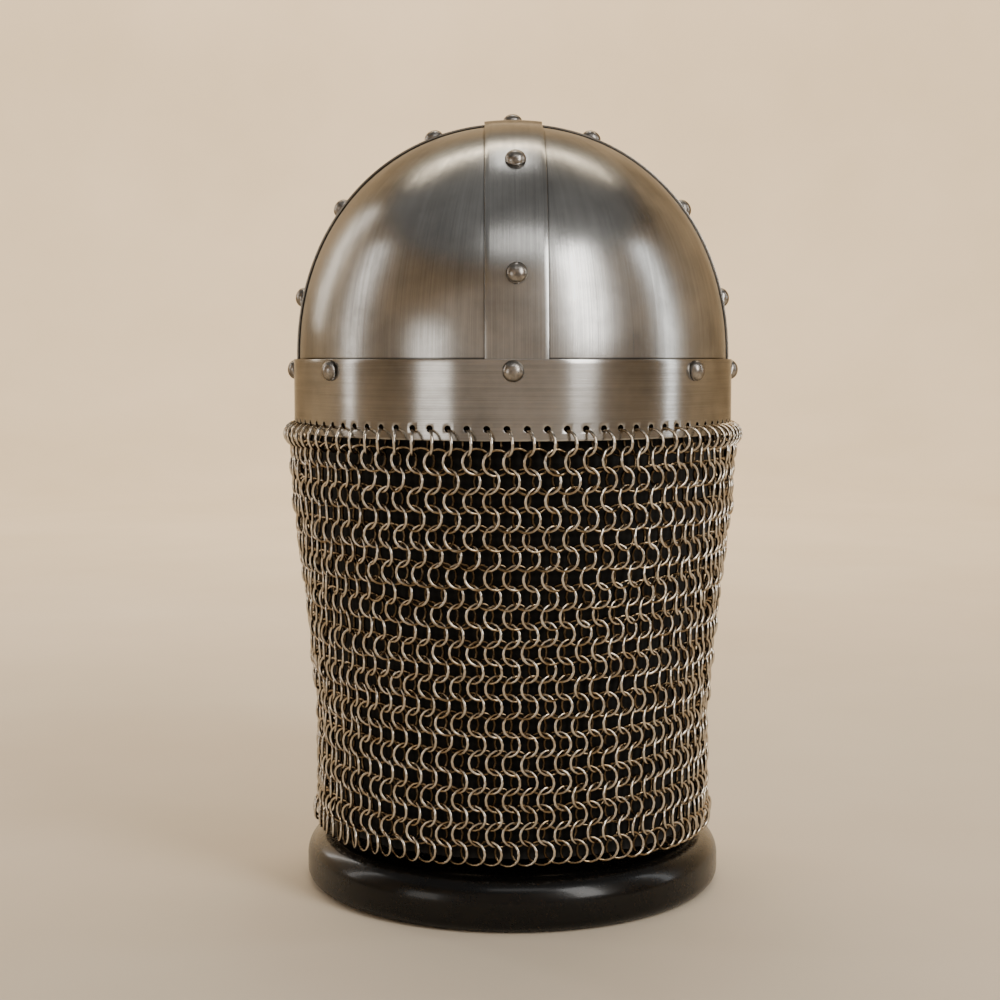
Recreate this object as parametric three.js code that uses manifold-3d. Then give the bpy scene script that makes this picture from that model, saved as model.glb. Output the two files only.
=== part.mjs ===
// A spectacle helmet with a mail curtain, standing on a round turned stand.
// Millimetres, +Z up. The origin is the middle of the stand's foot, on the floor.
// The wearer faces -Y, so +X is the wearer's left.

import * as THREE from 'three';
import { mergeGeometries, mergeVertices } from 'three/addons/utils/BufferGeometryUtils.js';
import Module from 'manifold-3d';

const wasm = await Module();
wasm.setup();

// Sizes of the helmet
const browTop = 250; // upper edge of the brow band, above the floor
const skullHalfWidth = 101.2; // outer face of the skull plates, ear to ear
const skullHalfLength = 117; // the same, brow to nape
const skullRise = 109; // from the brow band's upper edge to the crown
const skullRoundness = 2.12; // exponent of the dome's curve, 2 gives an ellipsoid
const sheet = 1.1; // thickness of plates, bands and brow band
const gap = 0.3; // clearance between pieces that are riveted or rest together
const tuck = 14; // how far plates and bands reach down behind the brow band
const bandWidth = 26.3;
const browHeight = 34;
const easeRun = 10; // length over which a sheet climbs onto the one that it crosses
const edgeMargin = 1.5; // how far past the crossed edge the climb is complete

// Sizes of the rivets
const rivetHeadRadius = 4.6;
const rivetHeadHeight = 3.7;
const rivetShankRadius = 2;
const rivetTailRadius = 3.2;
const rivetTailHeight = 0.9;
const rivetTailGap = 0.9; // between tail and sheet, more than the gap because flat facets sag inward
const rivetDrop = 5; // brow rivets, below the brow band's upper edge
const browRivetAngle = 51; // degrees round from the nape or the brow
const browRivetTurn = 0.9; // degrees by which all brow rivets sit off the middle planes
const napeRivetAngles = [17.5, 50]; // degrees up the dome, on the fore-and-aft band
const sideRivetAngles = [14.25, 39, 70]; // degrees up the dome, on the ear-to-ear band

// Sizes of the spectacle guard
const guardSheet = 1.6;
const guardHalfWidth = 72;
const guardOverlap = 22; // height of its bar, which lies on the brow band
const guardRivetDrop = 7; // its rivets, below the bar's upper edge
const guardRivetInset = 7; // and in from the bar's ends
const eyeSpacing = 68; // between the middles of the two eye openings
const eyeDrop = 13; // middle of the eye openings, below the brow band
const eyeHalfWidth = 22;
const eyeHalfHeight = 15;
const eyeRim = 11;
const noseDrop = 51; // tip of the nose piece, below the brow band
const noseHalfWidth = 9;
const noseTipHalfWidth = 6;
const rimHoleInset = 4; // mail holes, in from the spectacle rim's lower edge
const rimHolesPerEye = 7;
const rimHoleSpread = 60; // degrees to either side of the lowest point

// Sizes of the mail curtain, of the holes that it hangs from and of the cloth behind it
const hemHeight = 27; // lowest rings, above the floor
const hemHalfWidth = 96.4;
const hemHalfLength = 94;
const mailThickness = 7; // the rings stand askew, so the mail is deeper than its wire
const mailWaist = 5; // how far it draws in above the hem
const mailStandOff = 5; // how far its top rings stand out past the brow band
const mailHoleRadius = 1.4;
const mailHoleDrop = 29; // below the brow band's upper edge
const mailHoleCount = 80; // once all the way round
const faceTop = 4; // top of the mail, below the eye openings
const faceEase = 23; // width over which the mail drops from the brow band to the face
const liningSheet = 1.2;
const liningRise = 3; // its lower edge, above the hem

// Sizes of the stand
const baseRadius = 99.5;
const baseHeight = 24;
const baseTopRound = 12;
const baseFootRound = 6;
const postRadius = 18;
const postHeadRadius = 30; // domed head under the crown
const postHeadFall = 34; // height over which the head narrows to the post

// How finely curves are cut into flat faces
const quadrantSteps = 2;
const climbSteps = 9;
const bandSteps = 3;
const turnSteps = 30;
const rivetSides = 8;
const holeSides = 6;
const mailHoleSides = 4;
const roundSteps = 3;
const eyeSteps = 7;
const headSteps = 2;

// Drape of the mail: share of its height from the top, and share of the waist drawn in there
const drape = [
  [0, 0], [0.1, 0], [0.2, -0.1], [0.4, 0.5], [0.7, 1], [0.92, 0.6], [1, 0],
];
const standOffPeak = 0.03; // share of the height at which the top rings stand out most
const standOffEnd = 0.1;
const liningShares = [0, 0.4, 0.7, 0.92]; // the places of the drape that the cloth follows

// Values that follow from the sizes
const browBottom = browTop - browHeight;
const layer = sheet + gap;
const holeRadius = (rivetShankRadius + gap) / Math.cos(Math.PI / holeSides);
const eyeHeight = browBottom - eyeDrop;
const guardTop = browBottom + guardOverlap;
const rimEdge = eyeSpacing / 2 + eyeHalfWidth + eyeRim + gap; // just clear of the spectacle rims
const mailClear = guardHalfWidth + 2 * edgeMargin; // from here the mail stands out past the brow band
const rivetDepth = sheet + rivetTailGap + rivetTailHeight; // how far the tails reach into the skull
const liningEnd = 1 - liningRise / (browBottom - hemHeight); // share of the height that it hangs down
const postTop = skullRise - rivetDepth - gap;
const postSide = skullHalfWidth - rivetDepth - gap;

// Materials
const steel = { color: 0x9c978f, roughness: 0.34, metalness: 1 };
const rivetSteel = { color: 0x8d867c, roughness: 0.24, metalness: 1 };
const mailSteel = { color: 0x8f8270, roughness: 0.4, metalness: 1 };
const lacquer = { color: 0x0d0b0a, roughness: 0.22, metalness: 0 };
const blackWood = { color: 0x0b0b0b, roughness: 0.7, metalness: 0 };
const blackCloth = { color: 0x080808, roughness: 0.95, metalness: 0 };

// 0 up to the first value, 1 from the second, and a smooth climb between them
function ease(value, from, to) {
  return THREE.MathUtils.smoothstep(value, from, to);
}

// Steps from one value to another, without the last
function steps(from, to, count) {
  return Array.from({ length: count }, (_, i) => THREE.MathUtils.lerp(from, to, i / count));
}

// Straight-line reading of a table of pairs
function read(table, at) {
  const next = table.findIndex(([key]) => key >= at);
  if (next <= 0) return table[0][1];
  const [[k0, v0], [k1, v1]] = [table[next - 1], table[next]];
  return THREE.MathUtils.lerp(v0, v1, (at - k0) / (k1 - k0));
}

// How far a point of the skull's surface lies past the dome, 0 on it
function domeLevel(x, y, z) {
  const level = Math.hypot(x / skullHalfWidth, y / skullHalfLength) ** skullRoundness;
  return level + (z / skullRise) ** skullRoundness - 1;
}

// A point of the skull's outer face, moved out along the surface's normal.
// z counts from the brow band's upper edge, and the skull is upright below it.
function skinPoint(x, y, z, out) {
  const level = Math.hypot(x / skullHalfWidth, y / skullHalfLength);
  const share = level ** (skullRoundness - 2);
  const normal = z > 0
    ? new THREE.Vector3(
      share * x / skullHalfWidth ** 2,
      share * y / skullHalfLength ** 2,
      (z / skullRise) ** (skullRoundness - 1) / skullRise,
    )
    : new THREE.Vector3(x / skullHalfWidth ** 2, y / skullHalfLength ** 2, 0);
  normal.normalize();
  return new THREE.Vector3(x, y, browTop + z).addScaledVector(normal, out);
}

// The dome's profile at an angle up from its foot: share of the half-length, and height
function climb(angle) {
  const power = 2 / skullRoundness;
  return [Math.cos(angle) ** power, skullRise * Math.sin(angle) ** power];
}

// The angle at which the profile is a given share of the way out from the crown
function angleAt(share) {
  return Math.acos(share ** (skullRoundness / 2));
}

// A point of a band at a place across it. The fore-and-aft band runs along y, the other along x.
function bandPoint(foreAndAft, across, share, z, out) {
  const reach = foreAndAft ? skullHalfLength : skullHalfWidth;
  const half = foreAndAft ? skullHalfWidth : skullHalfLength;
  const place = (along, height) => (foreAndAft ? [across, along, height] : [along, across, height]);
  if (z <= 0) {
    const along = Math.sign(share) * reach * Math.sqrt(1 - (across / half) ** 2);
    return skinPoint(...place(along, z), out);
  }
  let low = 0;
  let high = 1;
  for (let round = 0; round < 40; round += 1) {
    const middle = (low + high) / 2;
    if (domeLevel(...place(middle * share * reach, middle * z)) > 0) high = middle;
    else low = middle;
  }
  return skinPoint(...place(low * share * reach, low * z), out);
}

// Angles round the skull's ellipse, finer where the brow band climbs over a band's foot.
// They include the places where the spectacle rims end and where the mail is clear of them.
function skullAngles() {
  const halfBand = bandWidth / 2;
  const inner = halfBand + edgeMargin;
  const outer = halfBand + easeRun + edgeMargin;
  const fromSide = (reach) => Math.asin(reach / skullHalfLength);
  const fromEnd = (reach) => Math.PI / 2 - Math.asin(reach / skullHalfWidth);
  const quadrant = [
    0, fromSide(inner / 2), fromSide(inner),
    ...steps(fromSide(outer), fromEnd(mailClear), quadrantSteps),
    ...steps(fromEnd(mailClear), fromEnd(rimEdge), 1),
    ...steps(fromEnd(rimEdge), fromEnd(outer), quadrantSteps),
    fromEnd(outer), fromEnd(inner), fromEnd(inner / 2),
  ];
  return [0, 1, 2, 3].flatMap((turn) => {
    const part = turn % 2 === 0 ? quadrant : quadrant.map((angle) => Math.PI / 2 - angle).reverse();
    const start = turn % 2 === 0 ? part : [0, ...part.slice(0, -1)];
    return start.map((angle) => angle + turn * Math.PI / 2);
  });
}

// A point of an upright face round the skull's ellipse
function roundPoint(angle, height, out) {
  const x = skullHalfWidth * Math.cos(angle);
  const y = skullHalfLength * Math.sin(angle);
  return skinPoint(x, y, Math.min(height - browTop, 0), out).setZ(height);
}

// How far the brow band's inner face stands off the skull, more over the bands' feet
function browOffset(angle) {
  const halfBand = bandWidth / 2;
  const x = Math.abs(skullHalfWidth * Math.cos(angle));
  const y = Math.abs(skullHalfLength * Math.sin(angle));
  const climbed = 1 - ease(Math.min(x, y), halfBand + edgeMargin, halfBand + edgeMargin + easeRun);
  return gap + layer * climbed;
}

// Closed body between two grids of points, the first being the outer face.
// A grid is a list of rows; a ring's rows join up, a strip's have edges.
function slab(outer, inner, ring) {
  const rows = outer.length;
  const columns = outer[0].length;
  const points = [...outer.flat(), ...inner.flat()];
  const at = (side, row, column) => (side * rows + (row % rows)) * columns + column;
  const triangles = [];
  const quad = (a, b, c, d) => triangles.push(a, b, c, a, c, d);
  const lastRow = ring ? rows : rows - 1;
  for (let row = 0; row < lastRow; row += 1) {
    for (let column = 0; column < columns - 1; column += 1) {
      quad(at(0, row, column), at(0, row + 1, column),
        at(0, row + 1, column + 1), at(0, row, column + 1));
      quad(at(1, row, column), at(1, row, column + 1),
        at(1, row + 1, column + 1), at(1, row + 1, column));
    }
    quad(at(0, row + 1, 0), at(0, row, 0), at(1, row, 0), at(1, row + 1, 0));
    quad(at(0, row, columns - 1), at(0, row + 1, columns - 1),
      at(1, row + 1, columns - 1), at(1, row, columns - 1));
  }
  if (!ring) {
    for (let column = 0; column < columns - 1; column += 1) {
      quad(at(0, 0, column), at(0, 0, column + 1), at(1, 0, column + 1), at(1, 0, column));
      quad(at(0, rows - 1, column + 1), at(0, rows - 1, column),
        at(1, rows - 1, column), at(1, rows - 1, column + 1));
    }
  }
  const geometry = new THREE.BufferGeometry();
  geometry.setAttribute('position', new THREE.Float32BufferAttribute(
    points.flatMap((point) => point.toArray()), 3,
  ));
  geometry.setIndex(triangles);
  return closed(geometry);
}

// The same surface with shared corners and without triangles that have no area
function closed(geometry) {
  const bare = geometry.clone();
  bare.deleteAttribute('normal');
  bare.deleteAttribute('uv');
  const merged = mergeVertices(bare, 1e-4);
  const index = merged.getIndex().array;
  const kept = [];
  for (let i = 0; i < index.length; i += 3) {
    const [a, b, c] = [index[i], index[i + 1], index[i + 2]];
    if (a !== b && b !== c && a !== c) kept.push(a, b, c);
  }
  merged.setIndex(kept);
  return merged;
}

// Between geometries and the solids that can be joined and cut
function toSolid(geometry) {
  const merged = closed(geometry);
  return new wasm.Manifold(new wasm.Mesh({
    numProp: 3,
    vertProperties: new Float32Array(merged.getAttribute('position').array),
    triVerts: new Uint32Array(merged.getIndex().array),
  }));
}

function toGeometry(solid) {
  const mesh = solid.getMesh();
  const geometry = new THREE.BufferGeometry();
  geometry.setAttribute('position', new THREE.BufferAttribute(mesh.vertProperties, 3));
  geometry.setIndex(new THREE.BufferAttribute(mesh.triVerts, 1));
  return geometry;
}

// A prism along a direction through a point, for cutting a hole
function hole(point, direction, radius, sides) {
  const length = 2 * (rivetHeadHeight + 4 * layer);
  const turn = new THREE.Quaternion().setFromUnitVectors(new THREE.Vector3(0, 1, 0), direction);
  return new THREE.CylinderGeometry(radius, radius, length, sides)
    .applyQuaternion(turn)
    .translate(point.x, point.y, point.z);
}

function drilled(geometry, holes) {
  if (holes.length === 0) return geometry;
  return toGeometry(toSolid(geometry).subtract(toSolid(mergeGeometries(holes.map(bareHole)))));
}

function bareHole(geometry) {
  const bare = geometry.toNonIndexed();
  bare.deleteAttribute('normal');
  bare.deleteAttribute('uv');
  return bare;
}

// Rivets: a place on the skull, the outer face that the head sits on, and the inner face behind
function bandRivet(name, foreAndAft, side, degrees, top) {
  const [share, z] = climb(THREE.MathUtils.degToRad(degrees));
  const foot = bandPoint(foreAndAft, 0, side * share, z, 0);
  const axis = bandPoint(foreAndAft, 0, side * share, z, 1).sub(foot);
  return { name, foot, axis, top, bottom: -sheet };
}

function browRivet(name, place) {
  const angle = place - THREE.MathUtils.degToRad(browRivetTurn);
  const height = browTop - rivetDrop;
  const foot = roundPoint(angle, height, 0);
  const axis = roundPoint(angle, height, 1).sub(foot);
  return { name, foot, axis, top: browOffset(angle) + sheet, bottom: -sheet };
}

function guardRivet(name, x) {
  const angle = -Math.acos(x / skullHalfWidth);
  const height = guardTop - guardRivetDrop;
  const foot = roundPoint(angle, height, 0);
  const axis = roundPoint(angle, height, 1).sub(foot);
  const inner = browOffset(angle);
  return { name, foot, axis, top: inner + layer + guardSheet, bottom: inner };
}

const spread = THREE.MathUtils.degToRad(browRivetAngle);
const crownRivet = bandRivet('rivet_crown', true, 1, 90, 2 * layer);
const foreAndAftRivets = ['lower', 'upper'].flatMap((level, i) => [
  bandRivet(`rivet_rear_${level}`, true, 1, napeRivetAngles[i], layer),
  bandRivet(`rivet_front_${level}`, true, -1, napeRivetAngles[i], layer),
]);
const sideRivets = ['lower', 'middle', 'upper'].flatMap((level, i) => [
  bandRivet(`rivet_left_${level}`, false, 1, sideRivetAngles[i], layer),
  bandRivet(`rivet_right_${level}`, false, -1, sideRivetAngles[i], layer),
]);
const browRivets = [
  browRivet('rivet_brow_rear', Math.PI / 2),
  browRivet('rivet_brow_rear_left', Math.PI / 2 - spread),
  browRivet('rivet_brow_rear_right', Math.PI / 2 + spread),
  browRivet('rivet_brow_left', 0),
  browRivet('rivet_brow_right', Math.PI),
  browRivet('rivet_brow_front', -Math.PI / 2),
  browRivet('rivet_brow_front_left', spread - Math.PI / 2),
  browRivet('rivet_brow_front_right', -Math.PI / 2 - spread),
];
const guardRivets = [
  guardRivet('rivet_guard_left', guardHalfWidth - guardRivetInset),
  guardRivet('rivet_guard_middle', 0),
  guardRivet('rivet_guard_right', guardRivetInset - guardHalfWidth),
];
const allRivets = [crownRivet, ...foreAndAftRivets, ...sideRivets, ...browRivets, ...guardRivets];

const rivetHoles = (rivets) => rivets.map((rivet) => (
  hole(rivet.foot, rivet.axis, holeRadius, holeSides)
));

function rivetGeometry({ foot, axis, top, bottom }) {
  const head = top + gap;
  const tail = bottom - rivetTailGap;
  const arc = steps(0, 1, headSteps).map((share) => {
    const angle = share * Math.PI / 2;
    return new THREE.Vector2(rivetHeadRadius * Math.sin(angle), head + rivetHeadHeight * Math.cos(angle));
  });
  const profile = [
    ...arc,
    new THREE.Vector2(rivetHeadRadius, head),
    new THREE.Vector2(rivetShankRadius, head),
    new THREE.Vector2(rivetShankRadius, tail),
    new THREE.Vector2(rivetTailRadius, tail),
    new THREE.Vector2(rivetTailRadius, tail - rivetTailHeight),
    new THREE.Vector2(0, tail - rivetTailHeight),
  ].reverse();
  const turn = new THREE.Quaternion().setFromUnitVectors(new THREE.Vector3(0, 1, 0), axis);
  return closed(new THREE.LatheGeometry(profile, rivetSides))
    .applyQuaternion(turn)
    .translate(foot.x, foot.y, foot.z);
}

// Skull plates: one dome shell, cut along the two middle planes into four
function plateGeometries() {
  const halfBand = bandWidth / 2;
  const upper = angleAt((halfBand + edgeMargin + easeRun) / skullHalfLength);
  const rings = [
    [1, -tuck],
    ...steps(0, upper, climbSteps).map(climb),
    climb(upper),
    climb(angleAt((halfBand + edgeMargin) / skullHalfLength)),
    [0, skullRise],
  ];
  const face = (out) => skullAngles().map((angle) => rings.map(([share, z]) => skinPoint(
    skullHalfWidth * share * Math.cos(angle),
    skullHalfLength * share * Math.sin(angle),
    z,
    out,
  )));
  const shell = toSolid(drilled(slab(face(0), face(-sheet), true), rivetHoles([
    crownRivet, ...foreAndAftRivets, ...sideRivets, ...browRivets,
  ])));
  const size = 2 * (skullHalfLength + skullHalfWidth + skullRise);
  const quarter = (sideX, sideY) => {
    const box = new THREE.BoxGeometry(size, size, size).translate(
      sideX * (size + gap) / 2,
      sideY * (size + gap) / 2,
      browTop,
    );
    return toGeometry(shell.intersect(toSolid(box)));
  };
  return {
    skull_plate_rear_left: quarter(1, 1),
    skull_plate_rear_right: quarter(-1, 1),
    skull_plate_front_left: quarter(1, -1),
    skull_plate_front_right: quarter(-1, -1),
  };
}

// A band over the dome from foot to foot. One that crosses another climbs over it at the crown.
function bandGeometry(foreAndAft, crosses, rivets) {
  const reach = foreAndAft ? skullHalfLength : skullHalfWidth;
  const clear = bandWidth / 2 + edgeMargin;
  const upper = angleAt((clear + easeRun) / reach);
  const edge = angleAt(clear / reach);
  const half = [
    [1, -tuck],
    ...[...steps(0, upper, climbSteps), upper, ...steps(edge, Math.PI / 2, 2)].map(climb),
  ];
  const mirrored = half.map(([share, z]) => [-share, z]).reverse();
  const stations = [...half, [0, skullRise], ...mirrored];
  const across = [...steps(-bandWidth / 2, bandWidth / 2, bandSteps), bandWidth / 2];
  const face = (out) => stations.map(([share, z]) => across.map((place) => {
    const from = Math.abs(share) * reach;
    const climbed = crosses ? layer * (1 - ease(from, clear, clear + easeRun)) : 0;
    return bandPoint(foreAndAft, foreAndAft ? place : -place, share, z, gap + climbed + out);
  }));
  return drilled(slab(face(sheet), face(0), false), rivetHoles(rivets));
}

// Angles round the skull that are equal steps along the ellipse
function evenAngles(count) {
  const ellipse = new THREE.EllipseCurve(0, 0, skullHalfWidth, skullHalfLength);
  return steps(0, 1, count).map((share) => 2 * Math.PI * ellipse.getUtoTmapping(share + 0.5 / count));
}

// Whether an angle round the skull lies behind the spectacle guard
function behindGuard(angle, margin) {
  return Math.sin(angle) < 0 && Math.abs(skullHalfWidth * Math.cos(angle)) < guardHalfWidth + margin;
}

function browGeometry() {
  const face = (out) => skullAngles().map((angle) => [browBottom, browTop].map((height) => (
    roundPoint(angle, height, browOffset(angle) + out)
  )));
  const mailHoles = evenAngles(mailHoleCount)
    .filter((angle) => !behindGuard(angle, 2 * mailHoleRadius))
    .map((angle) => {
      const foot = roundPoint(angle, browTop - mailHoleDrop, 0);
      const axis = roundPoint(angle, browTop - mailHoleDrop, 1).sub(foot);
      return hole(foot, axis, mailHoleRadius, mailHoleSides);
    });
  const holes = [...rivetHoles([...browRivets, ...guardRivets]), ...mailHoles];
  return drilled(slab(face(sheet), face(0), true), holes);
}

// An outline drawn in the front view and carried through the front half of the helmet
function frontPrism(shape) {
  const depth = 2 * skullHalfLength;
  return new THREE.ExtrudeGeometry(shape, { depth, bevelEnabled: false, curveSegments: eyeSteps })
    .rotateX(Math.PI / 2);
}

function ellipsePrism(x, halfWidth, halfHeight) {
  return frontPrism(new THREE.Shape().absellipse(x, eyeHeight, halfWidth, halfHeight, 0, 2 * Math.PI));
}

// Spectacle guard: the outline of bar, two rims and nose piece, cut from a wall bent round the brow
function guardGeometry() {
  const bar = new THREE.Shape([
    new THREE.Vector2(-guardHalfWidth, browBottom),
    new THREE.Vector2(guardHalfWidth, browBottom),
    new THREE.Vector2(guardHalfWidth, guardTop),
    new THREE.Vector2(-guardHalfWidth, guardTop),
  ]);
  const nose = new THREE.Shape([
    new THREE.Vector2(-noseTipHalfWidth, browBottom - noseDrop),
    new THREE.Vector2(noseTipHalfWidth, browBottom - noseDrop),
    new THREE.Vector2(noseHalfWidth, eyeHeight),
    new THREE.Vector2(noseTipHalfWidth, guardTop - gap),
    new THREE.Vector2(-noseTipHalfWidth, guardTop - gap),
    new THREE.Vector2(-noseHalfWidth, eyeHeight),
  ]);
  const angles = skullAngles().filter((angle) => angle > Math.PI);
  const face = (out) => angles.map((angle) => [browBottom - 2 * noseDrop, browTop].map((height) => (
    roundPoint(angle, height, browOffset(angle) + layer + out)
  )));
  const wall = toSolid(slab(face(guardSheet), face(0), false));
  const sides = [-eyeSpacing / 2, eyeSpacing / 2];
  let outline = toSolid(frontPrism(bar));
  for (const x of sides) {
    outline = outline.add(toSolid(ellipsePrism(x, eyeHalfWidth + eyeRim, eyeHalfHeight + eyeRim)));
  }
  for (const x of sides) {
    outline = outline.subtract(toSolid(ellipsePrism(x, eyeHalfWidth, eyeHalfHeight)));
  }
  outline = outline.add(toSolid(frontPrism(nose)));
  const holes = sides.flatMap((x) => rimHoles(x));
  const plain = toGeometry(wall.intersect(outline));
  return drilled(plain, [...rivetHoles(guardRivets), ...holes]);
}

// Mail holes along the lower rim of one eye opening
function rimHoles(x) {
  const reach = THREE.MathUtils.degToRad(rimHoleSpread);
  return Array.from({ length: rimHolesPerEye }, (_, i) => {
    const angle = THREE.MathUtils.lerp(-reach, reach, i / (rimHolesPerEye - 1)) - Math.PI / 2;
    const across = x + (eyeHalfWidth + eyeRim - rimHoleInset) * Math.cos(angle);
    const height = eyeHeight + (eyeHalfHeight + eyeRim - rimHoleInset) * Math.sin(angle);
    const round = -Math.acos(across / skullHalfWidth);
    const foot = roundPoint(round, height, 0);
    const axis = roundPoint(round, height, 1).sub(foot);
    return hole(foot, axis, mailHoleRadius, mailHoleSides);
  });
}

// The hanging wall's face at a depth behind its outer face, down to a share of its height. It starts
// below the brow band, stands out where the top rings pass through the holes, and lies inside the
// spectacle rims at the face.
function curtainFace(shares, inward) {
  return skullAngles().map((angle) => {
    const x = Math.abs(skullHalfWidth * Math.cos(angle));
    const front = Math.sin(angle) < 0;
    const face = front ? 1 - ease(x, rimEdge - faceEase, rimEdge) : 0;
    const hidden = front ? 1 - ease(x, rimEdge, mailClear) : 0;
    const faceHeight = eyeHeight - eyeHalfHeight - faceTop;
    const top = THREE.MathUtils.lerp(browBottom - gap, faceHeight, face);
    const topOut = browOffset(angle) + sheet - gap * hidden;
    const hem = new THREE.Vector3(hemHalfWidth * Math.cos(angle), hemHalfLength * Math.sin(angle), 0);
    return shares.map((share) => {
      const height = THREE.MathUtils.lerp(top, hemHeight, share);
      const start = roundPoint(angle, height, topOut);
      const outward = start.clone().sub(roundPoint(angle, height, topOut - 1));
      const rise = ease(share, 0, standOffPeak) * (1 - ease(share, standOffPeak, standOffEnd));
      const out = mailStandOff * (1 - hidden) * rise - mailWaist * read(drape, share) - inward;
      return start.lerp(hem.clone().setZ(height), share).addScaledVector(outward, out);
    }).reverse();
  });
}

// Mail curtain: one hollow wall with the outline of the hanging rings
function mailGeometry() {
  const shares = [...new Set([...drape.map(([share]) => share), standOffPeak])].sort((a, b) => a - b);
  return slab(curtainFace(shares, 0), curtainFace(shares, mailThickness), true);
}

// Black cloth that hangs right behind the mail and shows between its rings
function liningGeometry() {
  const behind = mailThickness + gap;
  const shares = [...liningShares, liningEnd];
  return slab(curtainFace(shares, behind), curtainFace(shares, behind + liningSheet), true);
}

// Quarter round from one direction to the next, about a centre
function quarterRound(x, y, radius, from, to) {
  return [...steps(from, to, roundSteps), to].map((angle) => (
    new THREE.Vector2(x + radius * Math.cos(angle), y + radius * Math.sin(angle))
  ));
}

// Turned about Z from a profile of radius and height that starts and ends on the axis
function turned(profile) {
  return closed(new THREE.LatheGeometry(profile, turnSteps)).rotateX(Math.PI / 2);
}

function baseGeometry() {
  return turned([
    new THREE.Vector2(0, 0),
    ...quarterRound(baseRadius - baseFootRound, baseFootRound, baseFootRound, -Math.PI / 2, 0),
    ...quarterRound(baseRadius - baseTopRound, baseHeight - baseTopRound, baseTopRound, 0, Math.PI / 2),
    new THREE.Vector2(0, baseHeight),
  ]);
}

// The post is hidden by the helmet. Its domed head carries the crown.
function postGeometry() {
  const start = angleAt(postHeadRadius / postSide);
  const dome = steps(start, Math.PI / 2, roundSteps).map((angle) => {
    const [share] = climb(angle);
    const height = postTop * Math.sin(angle) ** (2 / skullRoundness);
    return new THREE.Vector2(postSide * share, browTop + height);
  });
  return turned([
    new THREE.Vector2(0, baseHeight + gap),
    new THREE.Vector2(postRadius, baseHeight + gap),
    new THREE.Vector2(postRadius, dome[0].y - postHeadFall),
    ...dome,
    new THREE.Vector2(0, browTop + postTop),
  ]);
}

const helmet = new THREE.Group();

function addPiece(name, geometry, finish) {
  const mesh = new THREE.Mesh(geometry, new THREE.MeshStandardMaterial(finish));
  mesh.name = name;
  helmet.add(mesh);
}

for (const [name, geometry] of Object.entries(plateGeometries())) addPiece(name, geometry, steel);
addPiece('band_ear_to_ear', bandGeometry(false, false, [crownRivet, ...sideRivets, ...browRivets]), steel);
addPiece('band_front_to_back', bandGeometry(true, true, [
  crownRivet, ...foreAndAftRivets, ...browRivets,
]), steel);
addPiece('brow_band', browGeometry(), steel);
addPiece('spectacle_guard', guardGeometry(), steel);
for (const rivet of allRivets) addPiece(rivet.name, rivetGeometry(rivet), rivetSteel);
addPiece('mail_curtain', mailGeometry(), mailSteel);
addPiece('mail_lining', liningGeometry(), blackCloth);
addPiece('stand_base', baseGeometry(), lacquer);
addPiece('stand_post', postGeometry(), blackWood);

export default helmet;
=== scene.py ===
# Looks of a spectacle helmet with a mail curtain on a round black stand.
# Metres, +Z up, the wearer faces -Y. The photograph looks at the back.

import math
import random

import bmesh
import bpy
from mathutils import Matrix, Vector


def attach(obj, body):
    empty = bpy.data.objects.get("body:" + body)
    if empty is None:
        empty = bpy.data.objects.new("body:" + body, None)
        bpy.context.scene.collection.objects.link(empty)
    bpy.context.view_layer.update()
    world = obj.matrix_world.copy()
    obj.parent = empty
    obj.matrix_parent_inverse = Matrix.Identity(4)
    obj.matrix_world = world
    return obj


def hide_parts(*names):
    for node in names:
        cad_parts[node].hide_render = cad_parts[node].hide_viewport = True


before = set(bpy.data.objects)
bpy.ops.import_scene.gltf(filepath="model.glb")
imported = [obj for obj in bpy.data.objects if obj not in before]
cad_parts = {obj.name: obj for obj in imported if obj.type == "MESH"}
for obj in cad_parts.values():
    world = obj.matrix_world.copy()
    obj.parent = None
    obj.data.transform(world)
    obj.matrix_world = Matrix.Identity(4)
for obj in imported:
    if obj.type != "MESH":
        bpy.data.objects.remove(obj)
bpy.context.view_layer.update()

# Sizes of the helmet, as in the frame
BROW_TOP = 0.250
SKULL_HALF_WIDTH = 0.1012
SKULL_HALF_LENGTH = 0.117
SKULL_RISE = 0.109
ROUNDNESS = 2.12
SHEET = 0.0011
GAP = 0.0003
TUCK = 0.014
BAND_WIDTH = 0.0263
BROW_HEIGHT = 0.034
EASE_RUN = 0.010
BROW_EASE_RUN = 0.038
EDGE_MARGIN = 0.0015
SLIVER = 0.00005
MERGE = 1e-6
SHEET_EDGE = 0.00022
LAYER = SHEET + GAP
BROW_BOTTOM = BROW_TOP - BROW_HEIGHT

# Rivets
HEAD_RADIUS = 0.0046
HEAD_HEIGHT = 0.0037
RIVET_DROP = 0.005
BROW_RIVET_ANGLE = math.radians(51)
BROW_RIVET_TURN = math.radians(0.9)
NAPE_RIVET_ANGLES = {"lower": math.radians(17.5), "upper": math.radians(50)}
SIDE_RIVET_ANGLES = {
    "lower": math.radians(14.25),
    "middle": math.radians(39),
    "upper": math.radians(70),
}

# Spectacle guard
GUARD_SHEET = 0.0016
GUARD_HALF_WIDTH = 0.072
GUARD_TOP = BROW_BOTTOM + 0.022
GUARD_RIVET_DROP = 0.007
GUARD_RIVET_INSET = 0.007
GUARD_EDGE = 0.0004
GUARD_SLICES = 72
EYE_X = 0.034
EYE_Z = BROW_BOTTOM - 0.013
EYE_HALF_WIDTH = 0.022
EYE_HALF_HEIGHT = 0.015
EYE_RIM = 0.011
NOSE_DROP = 0.051
NOSE_HALF_WIDTH = 0.009
NOSE_TIP_HALF_WIDTH = 0.006
NOSE_OVERLAP = 0.0012
RIM_HOLE_INSET = 0.004
RIM_HOLES = 7
RIM_HOLE_SPREAD = math.radians(60)

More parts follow.
